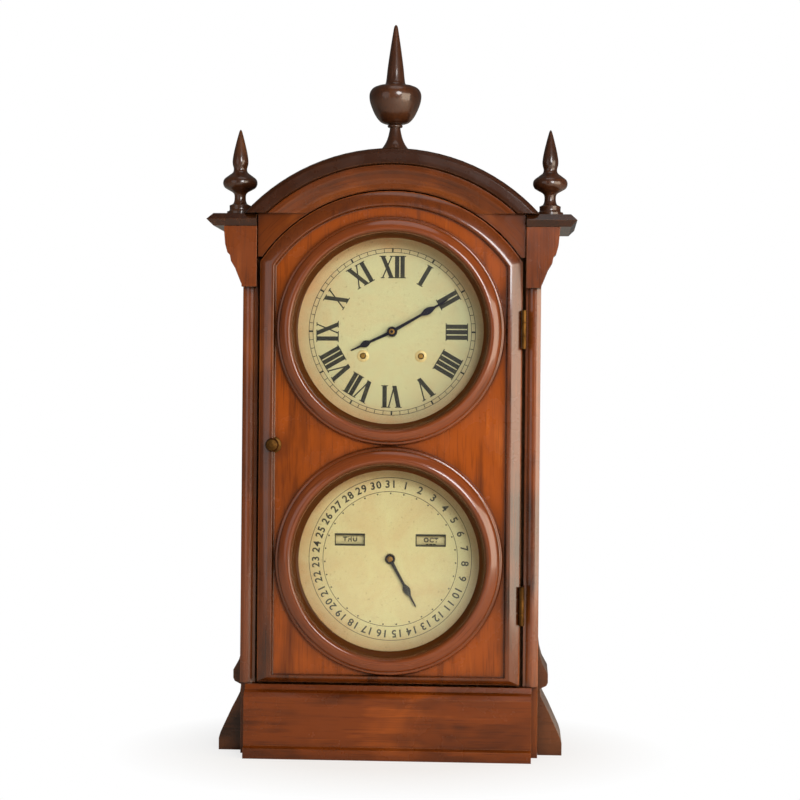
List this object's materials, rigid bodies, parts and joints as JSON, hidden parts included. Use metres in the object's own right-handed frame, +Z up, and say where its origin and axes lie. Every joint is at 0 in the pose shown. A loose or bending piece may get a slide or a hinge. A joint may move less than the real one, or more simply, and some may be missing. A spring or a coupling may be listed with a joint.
{
  "type": "calendar clock",
  "caption": "Wooden shelf clock with an arched top, turned finials and one hinged door; the upper dial shows the time and the lower dial the date, weekday and month.",
  "frame": {"origin": "middle of the case's bottom board, on its underside, where the clock stands", "axes": "+Z up, -Y the front with the dials, +X to the right seen from the front"},
  "size_m": [0.348, 0.132, 0.697],
  "materials": {
    "reddish_veneer": "polished reddish-brown veneer",
    "dark_moulding": "polished dark brown moulding",
    "plain_board": "plain unpolished board",
    "painted_dial": "cream paint, matt with age",
    "clear_glass": "clear, smooth",
    "lacquered_brass": "lacquered, dulled",
    "blued_steel": "dark blued steel",
    "black_iron": "black, rough",
    "printed_roller": "turned roller covered with cream paper"
  },
  "bodies": {
    "case": {"side_board_left": "reddish_veneer", "side_board_right": "reddish_veneer", "bottom_board": "reddish_veneer", "arch_fascia": "reddish_veneer", "pilaster_left": "reddish_veneer", "pilaster_right": "reddish_veneer", "bracket_left": "reddish_veneer", "bracket_right": "reddish_veneer", "front_plinth": "reddish_veneer", "side_base_left": "reddish_veneer", "side_base_right": "reddish_veneer", "roof_board": "dark_moulding", "hood_moulding": "dark_moulding", "ear_left": "dark_moulding", "ear_right": "dark_moulding", "finial_centre": "dark_moulding", "finial_left": "dark_moulding", "finial_right": "dark_moulding", "dial_board": "plain_board", "backboard": "plain_board", "time_dial": "painted_dial", "calendar_dial": "painted_dial", "hinge_upper_case_leaf": "lacquered_brass", "hinge_lower_case_leaf": "lacquered_brass", "front_plate": "lacquered_brass", "back_plate": "lacquered_brass", "calendar_plate": "lacquered_brass", "time_mainspring": "blued_steel", "strike_mainspring": "blued_steel", "gong_coil": "blued_steel", "gong_base": "black_iron"},
    "door": {"door_frame": "reddish_veneer", "ring_upper": "reddish_veneer", "ring_lower": "reddish_veneer", "glass_upper": "clear_glass", "glass_lower": "clear_glass", "hinge_upper_door_leaf": "lacquered_brass", "hinge_lower_door_leaf": "lacquered_brass"},
    "latch": {"door_latch": "lacquered_brass"},
    "minute": {"centre_arbor": "blued_steel", "minute_hand": "blued_steel"},
    "hour": {"hour_wheel": "lacquered_brass", "hour_hand": "blued_steel"},
    "minute_idler": {"minute_wheel": "lacquered_brass"},
    "third": {"third_wheel": "lacquered_brass"},
    "centre": {"centre_wheel": "lacquered_brass"},
    "time_great": {"time_great_wheel": "lacquered_brass"},
    "escape": {"escape_wheel": "lacquered_brass"},
    "strike_great": {"strike_great_wheel": "lacquered_brass", "count_wheel": "lacquered_brass"},
    "hammer_arm": {"hammer": "blued_steel"},
    "pendulum": {"pendulum_rod": "blued_steel", "pendulum_bob": "lacquered_brass"},
    "verge_arm": {"verge": "blued_steel"},
    "date": {"date_wheel": "lacquered_brass", "date_hand": "blued_steel"},
    "weekday": {"weekday_roller": "printed_roller"},
    "month": {"month_roller": "printed_roller"},
    "cam": {"year_cam": "lacquered_brass"},
    "lever": {"calendar_lever": "blued_steel"}
  },
  "joints": [
    {"name": "door_hinge", "type": "hinge", "parent": "case", "child": "door", "pos_m": [0.1251, -0.0609, 0.071], "axis": [0, 0, 1], "range_deg": [0, 110]},
    {"name": "latch_turn", "type": "hinge", "parent": "door", "child": "latch", "pos_m": [-0.1099, -0.058, 0.294], "axis": [0, 1, 0], "range_deg": [0, 90]},
    {"name": "minute_turn", "type": "hinge", "parent": "case", "child": "minute", "pos_m": [0, 0, 0.402], "axis": [0, 1, 0], "continuous": true},
    {"name": "hour_turn", "type": "hinge", "parent": "case", "child": "hour", "pos_m": [0, 0, 0.402], "axis": [0, 1, 0], "continuous": true},
    {"name": "minute_wheel_turn", "type": "hinge", "parent": "case", "child": "minute_idler", "pos_m": [0.01188, 0, 0.41388], "axis": [0, 1, 0], "continuous": true},
    {"name": "third_wheel_turn", "type": "hinge", "parent": "case", "child": "third", "pos_m": [-0.01678, 0, 0.42596], "axis": [0, 1, 0], "continuous": true},
    {"name": "centre_wheel_turn", "type": "hinge", "parent": "case", "child": "centre", "pos_m": [0, 0, 0.402], "axis": [0, 1, 0], "continuous": true},
    {"name": "time_great_wheel_turn", "type": "hinge", "parent": "case", "child": "time_great", "pos_m": [0.02758, 0, 0.37886], "axis": [0, 1, 0], "continuous": true},
    {"name": "escape_wheel_turn", "type": "hinge", "parent": "case", "child": "escape", "pos_m": [0, 0, 0.44496], "axis": [0, 1, 0], "continuous": true},
    {"name": "strike_great_wheel_turn", "type": "hinge", "parent": "case", "child": "strike_great", "pos_m": [-0.02758, 0, 0.37886], "axis": [0, 1, 0], "continuous": true},
    {"name": "hammer_swing", "type": "hinge", "parent": "case", "child": "hammer_arm", "pos_m": [-0.048, 0, 0.3485], "axis": [0, 1, 0], "range_deg": [-1.8, 5]},
    {"name": "pendulum_swing", "type": "hinge", "parent": "case", "child": "pendulum", "pos_m": [0, 0.041, 0.47796], "axis": [0, 1, 0], "range_deg": [-2.5, 2.5]},
    {"name": "verge_rock", "type": "hinge", "parent": "case", "child": "verge_arm", "pos_m": [0, 0, 0.46646], "axis": [0, 1, 0], "range_deg": [-3.5, 3.5]},
    {"name": "date_turn", "type": "hinge", "parent": "case", "child": "date", "pos_m": [0, 0, 0.186], "axis": [0, 1, 0], "continuous": true},
    {"name": "weekday_turn", "type": "hinge", "parent": "case", "child": "weekday", "pos_m": [-0.0385, -0.0202, 0.204], "axis": [1, 0, 0], "continuous": true},
    {"name": "month_turn", "type": "hinge", "parent": "case", "child": "month", "pos_m": [0.0385, -0.0202, 0.204], "axis": [1, 0, 0], "continuous": true},
    {"name": "year_cam_turn", "type": "hinge", "parent": "case", "child": "cam", "pos_m": [0, 0, 0.152], "axis": [0, 1, 0], "continuous": true},
    {"name": "calendar_lever_lift", "type": "slide", "parent": "case", "child": "lever", "axis": [0, 0, 1], "range_m": [0, 0.008]}
  ],
  "couplings": [
    {"joint": "hour_turn", "follows": "minute_turn", "ratio": 0.083333},
    {"joint": "minute_wheel_turn", "follows": "minute_turn", "ratio": -0.33333},
    {"joint": "centre_wheel_turn", "follows": "third_wheel_turn", "ratio": -0.11429},
    {"joint": "time_great_wheel_turn", "follows": "third_wheel_turn", "ratio": 0.012698},
    {"joint": "escape_wheel_turn", "follows": "third_wheel_turn", "ratio": -8.75},
    {"joint": "verge_rock", "follows": "pendulum_swing", "ratio": 1.3194},
    {"joint": "weekday_turn", "follows": "date_turn", "ratio": 4.4286},
    {"joint": "month_turn", "follows": "date_turn", "ratio": 0.083333},
    {"joint": "year_cam_turn", "follows": "date_turn", "ratio": 0.020833}
  ]
}
